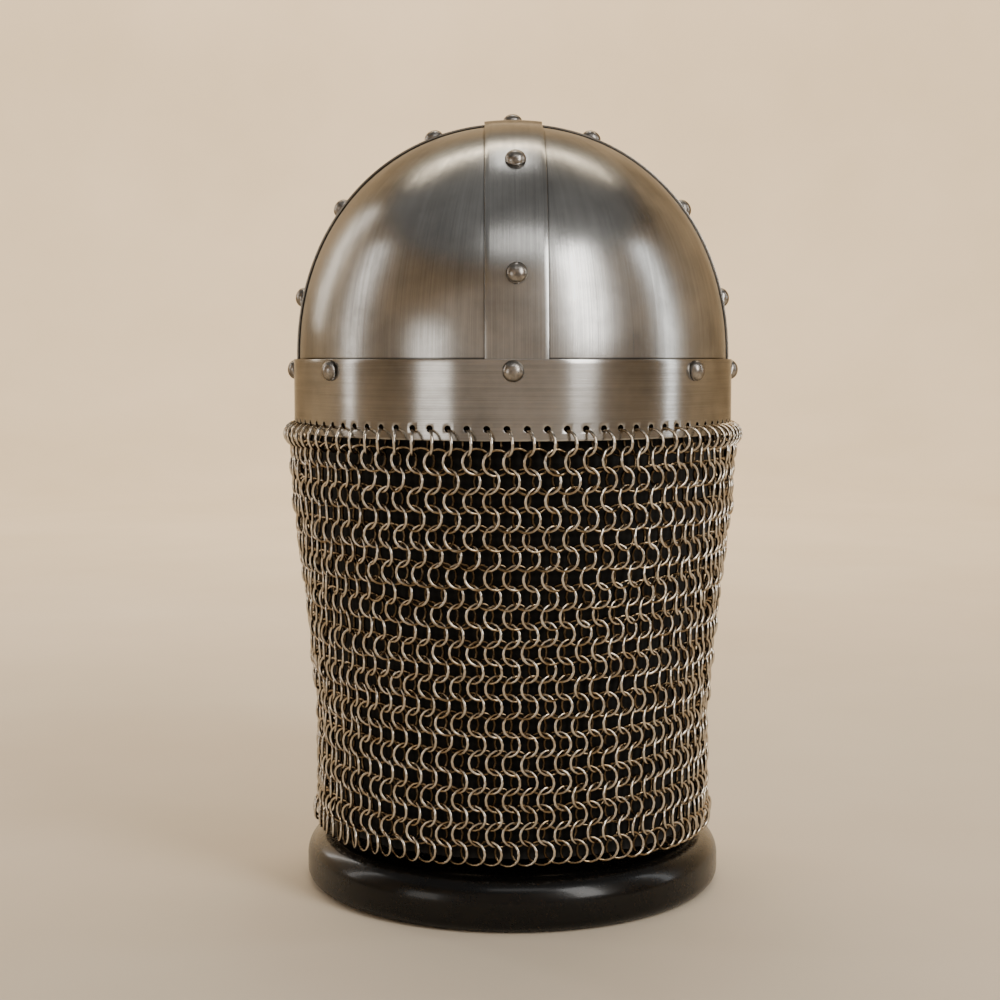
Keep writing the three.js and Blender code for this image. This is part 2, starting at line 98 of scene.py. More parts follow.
# Steel: width and brightness of the painted shade on the plates along the band edges and under the brow
# band, in place of the shadow in the step under them; its tint where it is seen edge on, and the radius
# and half length that turn angles into metres along the brush lines
PAINTED_SHADE_WIDTH = 0.0011
PAINTED_SHADE_LEVEL = 0.12
EDGE_TINT = (0.36, 0.34, 0.31)
BRUSH_RADIUS = 0.11
BAND_HALF_RUN = 0.19

# Mail
WIRE_RADIUS = 0.00072
RING_HALF_WIDTH = 0.0059
RING_HALF_HEIGHT = 0.0055
RINGS_ROUND = 84
ROWS = 23
ROW_PITCH = 0.00827
HOLE_RADIUS = 0.0014
HOLE_Z = BROW_TOP - 0.029
HEM_Z = 0.027
HEM_HALF_WIDTH = 0.0964
HEM_HALF_LENGTH = 0.094
MAIL_HALF_DEPTH = 0.0017
MAIL_WAIST = 0.005
DRAPE = [(0, -0.4), (0.1, -0.35), (0.2, -0.3), (0.4, 0.4), (0.7, 1), (0.92, 0.6), (1, 0)]
HUNG_TURN = math.radians(63)
HUNG_DROP = 0.0005
FIRST_ROW_RISE = 0.0003
ROW_WAVE = 0.0006
ROWS_TO_FULL_WAVE = 6
RING_SEED = 7
RING_SCATTER = 0.00018
HUNG_TURN_SCATTER = 0.07
TURN_SCATTER = 0.08
LEAN_SCATTER = 0.06
ROLL_SCATTER = 0.08
FACE_CLEARANCE = 0.004
ROWS_IN_PIECE = 8
HOLE_SPREAD = 1.1
ODD_TURN = math.radians(-18)
EVEN_TURN = math.radians(18)
FACE_TOP = EYE_Z - EYE_HALF_HEIGHT - 0.004
FACE_EASE = 0.023

# Cloth behind the mail
LINING_SHEET = 0.0004
LINING_BEHIND = 0.0064
LINING_RISE = 0.003
LINING_TUCK = 0.0015
LINING_ABOVE_HOLES = 0.004
LINING_TUCK_SHARE = 0.15
LINING_FULL_RISE_FROM = (-0.06, -0.03)
LINING_FOLD = 0.0008
LINING_FOLDS = 17
THREADS_PER_METRE = 1500

# Stand
BASE_RADIUS = 0.0995
BASE_HEIGHT = 0.024
BASE_TOP_ROUND = 0.012
BASE_FOOT_ROUND = 0.006

# Studio: softboxes by azimuth from the nape towards the wearer's left, and rise, in degrees;
# width and height in metres; radiance and colour
STUDIO_RADIUS = 3.2
STUDIO_ROUND = 0.9
STUDIO_WALL = 3.0
SOFTBOX_DISTANCE = 1.2
AIM = Vector((0, 0, 0.27))
SOFTBOXES = {
    "key_right": (-41, 25, 0.34, 0.95, 11.0, (1.0, 0.98, 0.95)),
    "fill_left": (48, 0, 0.36, 0.46, 3.0, (1.0, 0.97, 0.92)),
    "side_left": (97, 16, 0.12, 0.8, 6.0, (1.0, 0.98, 0.95)),
    "back_left": (129, 20, 0.12, 0.66, 7.0, (1.0, 0.98, 0.94)),
    "side_right": (-91, 16, 0.14, 0.9, 5.5, (0.92, 0.97, 1.0)),
    "overhead": (180, 72, 0.2, 0.32, 5.5, (1.0, 0.98, 0.95)),
    "high_front": (-4, 52, 0.6, 0.26, 2.2, (1.0, 0.98, 0.95)),
    "front_wash": (0, 6, 2.2, 1.1, 0.22, (1.0, 0.98, 0.96)),
}

# The photograph's camera, worked out from the brow band's width and the stand's outline
CAMERA_DISTANCE = 0.840
CAMERA_PITCH = math.radians(4.62)
CAMERA_TURN = math.radians(0.5)
CAMERA_ASIDE = 0.0060
CAMERA_LENS = 62.8


def ease(value, start, end):
    """0 up to start, 1 from end, and a smooth climb between them."""
    share = min(max((value - start) / (end - start), 0), 1)
    return share * share * (3 - 2 * share)


def lerp(start, end, share):
    return start + (end - start) * share


def read(table, at):
    """Straight-line reading of a table of pairs."""
    for (k0, v0), (k1, v1) in zip(table, table[1:]):
        if at <= k1:
            return lerp(v0, v1, (at - k0) / (k1 - k0))
    return table[-1][1]


# Shape of the skull

def skin_point(x, y, z, out):
    """A point of the skull's outer face moved out along its normal, z counted from the brow's top."""
    level = math.hypot(x / SKULL_HALF_WIDTH, y / SKULL_HALF_LENGTH)
    if z > 0:
        share = level ** (ROUNDNESS - 2)
        normal = Vector((
            share * x / SKULL_HALF_WIDTH ** 2,
            share * y / SKULL_HALF_LENGTH ** 2,
            (z / SKULL_RISE) ** (ROUNDNESS - 1) / SKULL_RISE,
        ))
    else:
        normal = Vector((x / SKULL_HALF_WIDTH ** 2, y / SKULL_HALF_LENGTH ** 2, 0))
    return Vector((x, y, BROW_TOP + z)) + normal.normalized() * out


def climb(angle):
    """Share of the half-length and height of the dome's profile at an angle up from its foot."""
    power = 2 / ROUNDNESS
    return max(math.cos(angle), 0) ** power, SKULL_RISE * math.sin(angle) ** power


def dome_level(x, y, z):
    level = math.hypot(x / SKULL_HALF_WIDTH, y / SKULL_HALF_LENGTH) ** ROUNDNESS
    return level + (z / SKULL_RISE) ** ROUNDNESS - 1


def band_point(fore_and_aft, across, share, z, out):
    """A point of a band at a place across it."""
    reach = SKULL_HALF_LENGTH if fore_and_aft else SKULL_HALF_WIDTH
    half = SKULL_HALF_WIDTH if fore_and_aft else SKULL_HALF_LENGTH

    def place(along, height):
        return (across, along, height) if fore_and_aft else (along, across, height)

    if z <= 0:
        along = math.copysign(reach * math.sqrt(1 - (across / half) ** 2), share)
        return skin_point(*place(along, z), out)
    low, high = 0, 1
    for _ in range(40):
        middle = (low + high) / 2
        if dome_level(*place(middle * share * reach, middle * z)) > 0:
            high = middle
        else:
            low = middle
    return skin_point(*place(low * share * reach, low * z), out)


def round_point(angle, height, out):
    """A point of an upright face round the skull."""
    x = SKULL_HALF_WIDTH * math.cos(angle)
    y = SKULL_HALF_LENGTH * math.sin(angle)
    point = skin_point(x, y, min(height - BROW_TOP, 0), out)
    return Vector((point.x, point.y, height))


def brow_offset(angle):
    """How far the brow band's inner face stands off the skull."""
    x = abs(SKULL_HALF_WIDTH * math.cos(angle))
    y = abs(SKULL_HALF_LENGTH * math.sin(angle))
    edge = BAND_WIDTH / 2 + EDGE_MARGIN
    return GAP + LAYER * (1 - ease(min(x, y), edge, edge + BROW_EASE_RUN))


def even_angles(count, start=0.0):
    """Angles that are equal steps along the skull's ellipse."""
    fine = 2880
    lengths = [0.0]
    previous = Vector((SKULL_HALF_WIDTH, 0))
    for i in range(1, fine + 1):
        angle = 2 * math.pi * i / fine
        point = Vector((SKULL_HALF_WIDTH * math.cos(angle), SKULL_HALF_LENGTH * math.sin(angle)))
        lengths.append(lengths[-1] + (point - previous).length)
        previous = point
    angles = []
    at = 0
    for k in range(count):
        want = lengths[-1] * ((k + start) / count)
        while lengths[at + 1] < want:
            at += 1
        share = (want - lengths[at]) / (lengths[at + 1] - lengths[at])
        angles.append(2 * math.pi * (at + share) / fine)
    return angles


def behind_guard(angle, margin):
    return math.sin(angle) < 0 and abs(SKULL_HALF_WIDTH * math.cos(angle)) < GUARD_HALF_WIDTH + margin


# Materials

def material(name, colour, roughness, metallic=1.0):
    made = bpy.data.materials.new(name)
    made.use_nodes = True
    shader = made.node_tree.nodes["Principled BSDF"]
    shader.inputs["Base Color"].default_value = (*colour, 1)
    shader.inputs["Roughness"].default_value = roughness
    shader.inputs["Metallic"].default_value = metallic
    return made, made.node_tree, shader


def add(tree, kind, **values):
    node = tree.nodes.new(kind)
    for key, value in values.items():
        if key in node.inputs:
            node.inputs[key].default_value = value
        else:
            setattr(node, key, value)
    return node


def noise(tree, vector, scale, detail, roughness=0.6):
    node = add(tree, "ShaderNodeTexNoise", Scale=scale, Detail=detail, Roughness=roughness)
    tree.links.new(vector, node.inputs["Vector"])
    return node.outputs["Fac"]


def stretched(tree, source, scale):
    node = add(tree, "ShaderNodeMapping")
    node.inputs["Scale"].default_value = scale
    tree.links.new(source, node.inputs["Vector"])
    return node.outputs["Vector"]


def ramp(tree, factor, stops):
    node = tree.nodes.new("ShaderNodeValToRGB")
    points = node.color_ramp.elements
    while len(points) < len(stops):
        points.new(0.5)
    for point, (place, colour) in zip(points, stops):
        point.position = place
        point.color = (*colour, 1)
    tree.links.new(factor, node.inputs["Fac"])
    return node.outputs["Color"]


def remap(tree, factor, low, high):
    node = add(tree, "ShaderNodeMapRange")
    node.inputs["To Min"].default_value = low
    node.inputs["To Max"].default_value = high
    tree.links.new(factor, node.inputs["Value"])
    return node.outputs["Result"]


def blend_grey(tree, first, second, share):
    node = add(tree, "ShaderNodeMix", data_type="FLOAT")
    node.inputs[0].default_value = share
    tree.links.new(first, node.inputs[2])
    tree.links.new(second, node.inputs[3])
    return node.outputs[0]


def bump(tree, height, strength, distance, shader):
    node = add(tree, "ShaderNodeBump", Strength=strength, Distance=distance)
    tree.links.new(height, node.inputs["Height"])
    tree.links.new(node.outputs["Normal"], shader.inputs["Normal"])


def painted_seam_shade(tree, place, colour):
    """Painted shade: darkens the plates in the corners where the bands and the brow band lie on them, in
    place of the shadow under their edges.
    """
    axes = add(tree, "ShaderNodeSeparateXYZ")
    tree.links.new(place, axes.inputs[0])
    for axis, edge in (("X", BAND_WIDTH / 2), ("Y", BAND_WIDTH / 2), ("Z", BROW_TOP)):
        size = add(tree, "ShaderNodeMath", operation="ABSOLUTE")
        tree.links.new(axes.outputs[axis], size.inputs[0])
        shade = add(tree, "ShaderNodeMapRange", interpolation_type="SMOOTHSTEP")
        shade.inputs["From Min"].default_value = edge
        shade.inputs["From Max"].default_value = edge + PAINTED_SHADE_WIDTH
        shade.inputs["To Min"].default_value = PAINTED_SHADE_LEVEL
        shade.inputs["To Max"].default_value = 1
        tree.links.new(size.outputs[0], shade.inputs["Value"])
        scaled = add(tree, "ShaderNodeVectorMath", operation="SCALE")
        tree.links.new(colour, scaled.inputs[0])
        tree.links.new(shade.outputs["Result"], scaled.inputs["Scale"])
        colour = scaled.outputs[0]
    return colour


def brushed_steel(name, dark, light, roughness, anisotropy, grain, seam_shade=False):
    """Satin steel with hair lines along its brush map, blotches and scratches."""
    made, tree, shader = material(name, light, roughness)
    brush = add(tree, "ShaderNodeUVMap", uv_map="brush").outputs["UV"]
    place = add(tree, "ShaderNodeTexCoord").outputs["Object"]
    hair = noise(tree, stretched(tree, brush, (14, 2600, 1)), 1, 6, 0.65)
    wide = noise(tree, stretched(tree, brush, (5, 420, 1)), 1, 4)
    blotch = noise(tree, place, 28, 5, 0.6)
    lines = blend_grey(tree, hair, wide, 0.35)
    tone = blend_grey(tree, lines, blotch, 0.5)
    colour = ramp(tree, tone, [(0.36, dark), (0.6, light)])
    # Plates only: painted shade along the band edges and below the brow band's top
    if seam_shade:
        colour = painted_seam_shade(tree, place, colour)
    tree.links.new(colour, shader.inputs["Base Color"])
    shader.inputs["Specular Tint"].default_value = (*EDGE_TINT, 1)
    tree.links.new(remap(tree, tone, roughness + 0.12, roughness - 0.08), shader.inputs["Roughness"])
    shader.inputs["Anisotropic"].default_value = anisotropy
    shader.inputs["Anisotropic Rotation"].default_value = 0.25
    tangent = add(tree, "ShaderNodeTangent", direction_type="UV_MAP", uv_map="brush")
    tree.links.new(tangent.outputs["Tangent"], shader.inputs["Tangent"])
    bump(tree, lines, grain, 0.0002, shader)
    return made


def rivet_steel():
    made, tree, shader = material("rivet_steel", (0.4, 0.38, 0.35), 0.3)
    place = add(tree, "ShaderNodeTexCoord").outputs["Object"]
    spots = noise(tree, place, 420, 4)
    tree.links.new(ramp(tree, spots, [(0.35, (0.17, 0.155, 0.14)), (0.6, (0.33, 0.31, 0.285))]),
                   shader.inputs["Base Color"])
    tree.links.new(remap(tree, spots, 0.36, 0.26), shader.inputs["Roughness"])
    shader.inputs["Specular Tint"].default_value = (*EDGE_TINT, 1)
    bump(tree, spots, 0.08, 0.0001, shader)
    return made


def mail_steel():
    made, tree, shader = material("mail_steel", (0.5, 0.42, 0.32), 0.3)
    place = add(tree, "ShaderNodeTexCoord").outputs["Object"]
    patches = noise(tree, place, 130, 3)
    specks = noise(tree, place, 900, 3)
    grain = blend_grey(tree, patches, specks, 0.35)
    # Painted shade: the back strands of each ring darker and the front strands lighter, by how far
    # outwards each side faces, mixed with the random grain
    strand_shade = add(tree, "ShaderNodeAttribute", attribute_name="strand_shade").outputs["Fac"]
    tone = blend_grey(tree, grain, strand_shade, 0.4)
    tree.links.new(ramp(tree, tone, [(0.3, (0.06, 0.042, 0.024)), (0.54, (0.27, 0.2, 0.12)),
                                     (0.74, (0.66, 0.62, 0.55))]), shader.inputs["Base Color"])
    tree.links.new(remap(tree, specks, 0.24, 0.12), shader.inputs["Roughness"])
    bump(tree, specks, 0.2, 0.0001, shader)
    return made


def black_lacquer():
    made, tree, shader = material("black_lacquer", (0.004, 0.0035, 0.003), 0.28, 0.0)
    place = add(tree, "ShaderNodeTexCoord").outputs["Object"]
    smears = noise(tree, place, 45, 5, 0.7)
    dust = noise(tree, place, 700, 3)
    tree.links.new(ramp(tree, smears, [(0.35, (0.001, 0.001, 0.001)), (0.7, (0.003, 0.0025, 0.002))]),
                   shader.inputs["Base Color"])
    tree.links.new(remap(tree, blend_grey(tree, smears, dust, 0.3), 0.34, 0.2),
                   shader.inputs["Roughness"])
    shader.inputs["Specular IOR Level"].default_value = 0.2
    shader.inputs["Coat Weight"].default_value = 0.15
    shader.inputs["Coat Roughness"].default_value = 0.1
    bump(tree, blend_grey(tree, smears, dust, 0.5), 0.12, 0.0004, shader)
    return made


def matt_black():
    made, tree, shader = material("matt_black", (0.006, 0.006, 0.006), 0.85, 0.0)
    place = add(tree, "ShaderNodeTexCoord").outputs["Object"]
    grain = noise(tree, stretched(tree, place, (1, 1, 0.1)), 160, 4)
    tree.links.new(ramp(tree, grain, [(0.3, (0.004, 0.004, 0.004)), (0.7, (0.009, 0.008, 0.008))]),
                   shader.inputs["Base Color"])
    bump(tree, grain, 0.2, 0.0003, shader)
    return made


def floor_paint():
    made, tree, shader = material("floor_paint", (0.62, 0.53, 0.41), 0.8, 0.0)
    place = add(tree, "ShaderNodeTexCoord").outputs["Object"]
    cloud = noise(tree, place, 3, 4)
    tree.links.new(ramp(tree, cloud, [(0.3, (0.6, 0.51, 0.39)), (0.7, (0.65, 0.56, 0.44))]),
                   shader.inputs["Base Color"])
    return made


def black_cloth():
    """Plain woven cloth, its threads running along and across the weave map."""
    made, tree, shader = material("black_cloth", (0.006, 0.006, 0.006), 0.95, 0.0)
    weave = add(tree, "ShaderNodeUVMap", uv_map="weave").outputs["UV"]
    threads = []
    for direction in ("X", "Y"):
        wave = add(tree, "ShaderNodeTexWave", Scale=THREADS_PER_METRE / 20, bands_direction=direction)
        tree.links.new(weave, wave.inputs["Vector"])
        threads.append(wave.outputs["Fac"])
    cloth = blend_grey(tree, *threads, 0.5)
    tree.links.new(ramp(tree, cloth, [(0.2, (0.002, 0.002, 0.002)), (0.8, (0.009, 0.009, 0.009))]),
                   shader.inputs["Base Color"])
    shader.inputs["Sheen Weight"].default_value = 0.1
    shader.inputs["Sheen Roughness"].default_value = 0.6
    shader.inputs["Specular IOR Level"].default_value = 0.1
    bump(tree, cloth, 0.4, 0.0002, shader)
    return made


DARK_STEEL = (0.2, 0.197, 0.19)
LIGHT_STEEL = (0.44, 0.435, 0.42)
PLATE_STEEL = brushed_steel("plate_steel", DARK_STEEL, LIGHT_STEEL, 0.23, 0.3, 0.12, seam_shade=True)
BAND_STEEL = brushed_steel("band_steel", DARK_STEEL, LIGHT_STEEL, 0.23, 0.35, 0.12)
BROW_STEEL = brushed_steel("brow_steel", (0.21, 0.205, 0.195), (0.43, 0.42, 0.4), 0.2, 0.6, 0.14)
RIVET_STEEL = rivet_steel()
MAIL_STEEL = mail_steel()
LACQUER = black_lacquer()
MATT_BLACK = matt_black()
BLACK_CLOTH = black_cloth()


# Making pieces

def finish_piece(name, bm, finish, nodes, modifiers=()):
    """Turn a bmesh into a piece that rides on the helmet and stands for its nodes."""
    mesh = bpy.data.meshes.new(name)
    for face in bm.faces:
        face.smooth = True
    bm.to_mesh(mesh)
    bm.free()
    mesh.materials.append(finish)
    piece = bpy.data.objects.new(name, mesh)
    bpy.context.scene.collection.objects.link(piece)
    for kind, values in modifiers:
        modifier = piece.modifiers.new(kind.title(), kind)
        for key, value in values.items():
            setattr(modifier, key, value)
    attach(piece, "root")
    if nodes:
        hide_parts(*nodes)
    return piece


def wall(thickness):
    return ("SOLIDIFY", {"thickness": thickness, "offset": -1})


def eased_edges(width):
    return ("BEVEL", {"width": width, "segments": 2, "limit_method": "ANGLE",
                      "angle_limit": math.radians(50), "harden_normals": False})


def face_outwards(bm, centre):
    """Turn an open sheet so that its faces point away from the helmet's middle."""
    bm.normal_update()
    votes = sum((face.calc_center_median() - centre).dot(face.normal) for face in bm.faces)
    if votes < 0:
        bmesh.ops.reverse_faces(bm, faces=bm.faces[:])


def map_brush(bm, along_across):
    """Store where each corner lies along and across the brush lines, in metres."""
    layer = bm.loops.layers.uv.new("brush")
    for face in bm.faces:
        centre = face.calc_center_median()
        for loop in face.loops:
            loop[layer].uv = along_across(loop.vert.co, centre)


def turn_near(angle, near):
    """The same angle, a whole number of turns away, that is closest to another."""
    return angle + 2 * math.pi * round((near - angle) / (2 * math.pi))


def round_map(co, centre):
    near = math.atan2(centre.y, centre.x)
    angle = turn_near(math.atan2(co.y, co.x), near)
    return angle * BRUSH_RADIUS, co.z


def meridian_map(co, centre):
    near = math.atan2(centre.y, centre.x)
    angle = turn_near(math.atan2(co.y, co.x), near)
    rise = math.atan2(co.z - BROW_TOP, math.hypot(co.x, co.y))
    return rise * BRUSH_RADIUS, angle * BRUSH_RADIUS


MIDDLE = Vector((0, 0, BROW_TOP))


def skull_plate(name, side_x, side_y):
    """One quarter of the dome, cut along the two middle planes."""
    bm = bmesh.new()
    bmesh.ops.create_uvsphere(bm, u_segments=128, v_segments=64, radius=1)
    bmesh.ops.bisect_plane(bm, geom=bm.verts[:] + bm.edges[:] + bm.faces[:],
                           plane_co=(0, 0, 0), plane_no=(0, 0, 1), clear_inner=True)
    for vert in bm.verts:
        angle = math.atan2(vert.co.y, vert.co.x)
        share, z = climb(math.asin(min(max(vert.co.z, 0), 1)))
        vert.co = skin_point(SKULL_HALF_WIDTH * share * math.cos(angle),
                             SKULL_HALF_LENGTH * share * math.sin(angle), z, 0)
    rim = [edge for edge in bm.edges if edge.is_boundary]
    skirt = bmesh.ops.extrude_edge_only(bm, edges=rim)["geom"]
    moved = [item for item in skirt if isinstance(item, bmesh.types.BMVert)]
    bmesh.ops.translate(bm, verts=moved, vec=(0, 0, -TUCK))
    cuts = [
        ((side_x * GAP / 2, 0, 0), (side_x, 0, 0)),
        ((0, side_y * GAP / 2, 0), (0, side_y, 0)),
    ]
    for cut, normal in cuts:
        bmesh.ops.bisect_plane(bm, geom=bm.verts[:] + bm.edges[:] + bm.faces[:],
                               plane_co=cut, plane_no=normal, clear_inner=True)
    bmesh.ops.remove_doubles(bm, verts=bm.verts[:], dist=SLIVER)
    face_outwards(bm, MIDDLE)
    map_brush(bm, meridian_map)
    return finish_piece(name + "_sheet", bm, PLATE_STEEL, [name], [wall(SHEET)])


def band(name, fore_and_aft, crosses):
    """A riveted band from foot to foot. One that crosses another climbs over it."""
    reach = SKULL_HALF_LENGTH if fore_and_aft else SKULL_HALF_WIDTH
    quarter = math.pi / 2
    skirt = TUCK / reach
    clear = BAND_WIDTH / 2 + EDGE_MARGIN
    bm = bmesh.new()
    layer = bm.loops.layers.uv.new("brush")
    bmesh.ops.create_grid(bm, x_segments=200, y_segments=12, size=1)
    for face in bm.faces:
        for loop in face.loops:
            loop[layer].uv = (loop.vert.co.x * BAND_HALF_RUN, loop.vert.co.y * BAND_WIDTH / 2)
    for vert in bm.verts:
        swing = vert.co.x * (quarter + skirt)
        across = vert.co.y * BAND_WIDTH / 2
        rise = quarter - abs(swing)
        share, z = climb(rise) if rise > 0 else (1, rise * reach)
        away = abs(share) * reach
        over = LAYER * (1 - ease(away, clear, clear + EASE_RUN)) if crosses else 0
        vert.co = band_point(fore_and_aft, across, math.copysign(share, swing), z, LAYER + over)
    face_outwards(bm, MIDDLE)
    return finish_piece(name + "_sheet", bm, BAND_STEEL, [name],
                        [wall(SHEET), eased_edges(SHEET_EDGE)])


def brow_band():
    """Upright band round the brow, with a row of small holes for the mail."""
    columns = 4 * RINGS_ROUND
    angles = even_angles(columns)
    side = HOLE_RADIUS * 1.5
    heights = [
        BROW_BOTTOM, HOLE_Z - 2 * side + 0.001, HOLE_Z - side,
        HOLE_Z, HOLE_Z + side, HOLE_Z + 2 * side,
    ]
    heights += [lerp(heights[-1], BROW_TOP, share / 6) for share in range(1, 7)]
    bm = bmesh.new()
    bmesh.ops.create_grid(bm, x_segments=columns, y_segments=len(heights) - 1, size=1)
    grid = {}
    for vert in bm.verts:
        column = round((vert.co.x + 1) / 2 * columns)
        row = round((vert.co.y + 1) / 2 * (len(heights) - 1))
        grid[column, row] = vert
        angle = angles[column % columns]
        vert.co = round_point(angle, heights[row], brow_offset(angle) + SHEET)
    hole_row = 3
    removed = []
    for column in range(2, columns, 4):
        if behind_guard(angles[column], 2 * HOLE_RADIUS):
            continue
        centre = grid[column, hole_row].co.copy()
        removed.append(grid[column, hole_row])
        spacing = (grid[column + 1, hole_row].co - centre).length
        for near in (-1, 0, 1):
            for row in (-1, 0, 1):
                if near == 0 and row == 0:
                    continue
                reach = HOLE_RADIUS * HOLE_SPREAD / math.hypot(near, row)
                beside = turn_near(angles[(column + near) % columns], angles[column])
                angle = lerp(angles[column], beside, reach / spacing)
                vert = grid[column + near, hole_row + row]
                vert.co = round_point(angle, HOLE_Z + row * reach, brow_offset(angle) + SHEET)
    bmesh.ops.delete(bm, geom=removed, context="VERTS")
    bmesh.ops.remove_doubles(bm, verts=bm.verts[:], dist=MERGE)
    face_outwards(bm, MIDDLE)
    map_brush(bm, round_map)
    smooth = ("SUBSURF", {"levels": 1, "render_levels": 1})
    return finish_piece("brow_band_sheet", bm, BROW_STEEL, ["brow_band"],
                        [smooth, wall(SHEET), eased_edges(SHEET_EDGE)])


def arc_points(x, z, half_width, half_height, start, end, count):
    points = []
    for i in range(count + 1):
        angle = lerp(start, end, i / count)
        points.append((x + half_width * math.cos(angle), z + half_height * math.sin(angle)))
    return points


def rim_hole_places(side):
    places = []
    for i in range(RIM_HOLES):
        angle = lerp(-RIM_HOLE_SPREAD, RIM_HOLE_SPREAD, i / (RIM_HOLES - 1)) - math.pi / 2
        places.append((side * EYE_X + (EYE_HALF_WIDTH + EYE_RIM - RIM_HOLE_INSET) * math.cos(angle),
                       EYE_Z + (EYE_HALF_HEIGHT + EYE_RIM - RIM_HOLE_INSET) * math.sin(angle)))
    return places


def spectacle_guard():
    """Bar, two eye rims and nose piece, drawn flat and bent round the brow."""
    half_width = EYE_HALF_WIDTH + EYE_RIM
    half_height = EYE_HALF_HEIGHT + EYE_RIM
    start = math.asin((BROW_BOTTOM - EYE_Z) / half_height)
    end = -math.acos((NOSE_HALF_WIDTH - NOSE_OVERLAP - EYE_X) / half_width)
    right = [(GUARD_HALF_WIDTH, GUARD_TOP), (GUARD_HALF_WIDTH, BROW_BOTTOM)]
    right += arc_points(EYE_X, EYE_Z, half_width, half_height, start, end, 48)
    right += [(NOSE_TIP_HALF_WIDTH, BROW_BOTTOM - NOSE_DROP)]
    outline = right + [(-x, z) for x, z in reversed(right)]
    loops = [outline]
    for side in (-1, 1):
        loops.append(arc_points(side * EYE_X, EYE_Z, EYE_HALF_WIDTH, EYE_HALF_HEIGHT,
                                0, 2 * math.pi, 48)[:-1])
        loops += [arc_points(x, z, HOLE_RADIUS, HOLE_RADIUS, 0, 2 * math.pi, 12)[:-1]
                  for x, z in rim_hole_places(side)]
    bm = bmesh.new()
    for loop in loops:
        verts = [bm.verts.new((x, 0, z)) for x, z in loop]
        for i, vert in enumerate(verts):
            bm.edges.new((vert, verts[(i + 1) % len(verts)]))
    bmesh.ops.triangle_fill(bm, edges=bm.edges[:], use_beauty=True)
    for i in range(1, GUARD_SLICES):
        x = lerp(-GUARD_HALF_WIDTH, GUARD_HALF_WIDTH, i / GUARD_SLICES)
        bmesh.ops.bisect_plane(bm, geom=bm.verts[:] + bm.edges[:] + bm.faces[:],
                               plane_co=(x, 0, 0), plane_no=(1, 0, 0))
    for vert in bm.verts:
        angle = -math.acos(max(min(vert.co.x / SKULL_HALF_WIDTH, 1), -1))
        vert.co = round_point(angle, vert.co.z, brow_offset(angle) + LAYER + GUARD_SHEET)
    face_outwards(bm, MIDDLE)
    map_brush(bm, round_map)
    return finish_piece("spectacle_guard_sheet", bm, BROW_STEEL, ["spectacle_guard"],
                        [wall(GUARD_SHEET), eased_edges(GUARD_EDGE)])


# Rivets

def rivet(name, foot, axis, top):
    """A domed head seated on the sheet below it."""
    bm = bmesh.new()
    bmesh.ops.create_uvsphere(bm, u_segments=28, v_segments=16, radius=1)
    bmesh.ops.bisect_plane(bm, geom=bm.verts[:] + bm.edges[:] + bm.faces[:],
                           plane_co=(0, 0, 0), plane_no=(0, 0, 1), clear_inner=True)
    bmesh.ops.scale(bm, vec=(HEAD_RADIUS, HEAD_RADIUS, HEAD_HEIGHT), verts=bm.verts[:])
    rim = [edge for edge in bm.edges if edge.is_boundary]
    skirt = bmesh.ops.extrude_edge_only(bm, edges=rim)["geom"]
    low = [item for item in skirt if isinstance(item, bmesh.types.BMVert)]
    bmesh.ops.translate(bm, verts=low, vec=(0, 0, -GAP * 1.6))
    bmesh.ops.scale(bm, vec=(0.96, 0.96, 1), verts=low)
    bmesh.ops.contextual_create(bm, geom=[edge for edge in bm.edges if edge.is_boundary])
    bmesh.ops.recalc_face_normals(bm, faces=bm.faces[:])
    turn = Vector((0, 0, 1)).rotation_difference(axis).to_matrix().to_4x4()
    place = Matrix.Translation(foot + axis * (top + GAP)) @ turn
    bmesh.ops.transform(bm, matrix=place, verts=bm.verts[:])
    return finish_piece(name + "_head", bm, RIVET_STEEL, [name])


def band_rivet(name, fore_and_aft, side, angle, top):
    share, z = climb(angle)
    foot = band_point(fore_and_aft, 0, side * share, z, 0)
    axis = (band_point(fore_and_aft, 0, side * share, z, 1) - foot).normalized()
    rivet(name, foot, axis, top)


def upright_rivet(name, angle, height, top):
    foot = round_point(angle, height, 0)
    axis = (round_point(angle, height, 1) - foot).normalized()
    rivet(name, foot, axis, top)


def all_rivets():
    band_rivet("rivet_crown", True, 1, math.pi / 2, 2 * LAYER)
    for level, angle in NAPE_RIVET_ANGLES.items():
        band_rivet(f"rivet_rear_{level}", True, 1, angle, LAYER)
        band_rivet(f"rivet_front_{level}", True, -1, angle, LAYER)
    for level, angle in SIDE_RIVET_ANGLES.items():
        band_rivet(f"rivet_left_{level}", False, 1, angle, LAYER)
        band_rivet(f"rivet_right_{level}", False, -1, angle, LAYER)
    nape = math.pi / 2
    turns = {
        "rear": nape, "rear_left": nape - BROW_RIVET_ANGLE, "rear_right": nape + BROW_RIVET_ANGLE,
        "left": 0, "right": math.pi, "front": -nape,
        "front_left": BROW_RIVET_ANGLE - nape, "front_right": -nape - BROW_RIVET_ANGLE,
    }
    for place, middle in turns.items():
        angle = middle - BROW_RIVET_TURN
        upright_rivet(f"rivet_brow_{place}", angle, BROW_TOP - RIVET_DROP, brow_offset(angle) + SHEET)
    guard_x = GUARD_HALF_WIDTH - GUARD_RIVET_INSET
    for place, x in (("left", guard_x), ("middle", 0), ("right", -guard_x)):
        angle = -math.acos(x / SKULL_HALF_WIDTH)
        top = brow_offset(angle) + LAYER + GUARD_SHEET
        upright_rivet(f"rivet_guard_{place}", angle, GUARD_TOP - GUARD_RIVET_DROP, top)


# Mail

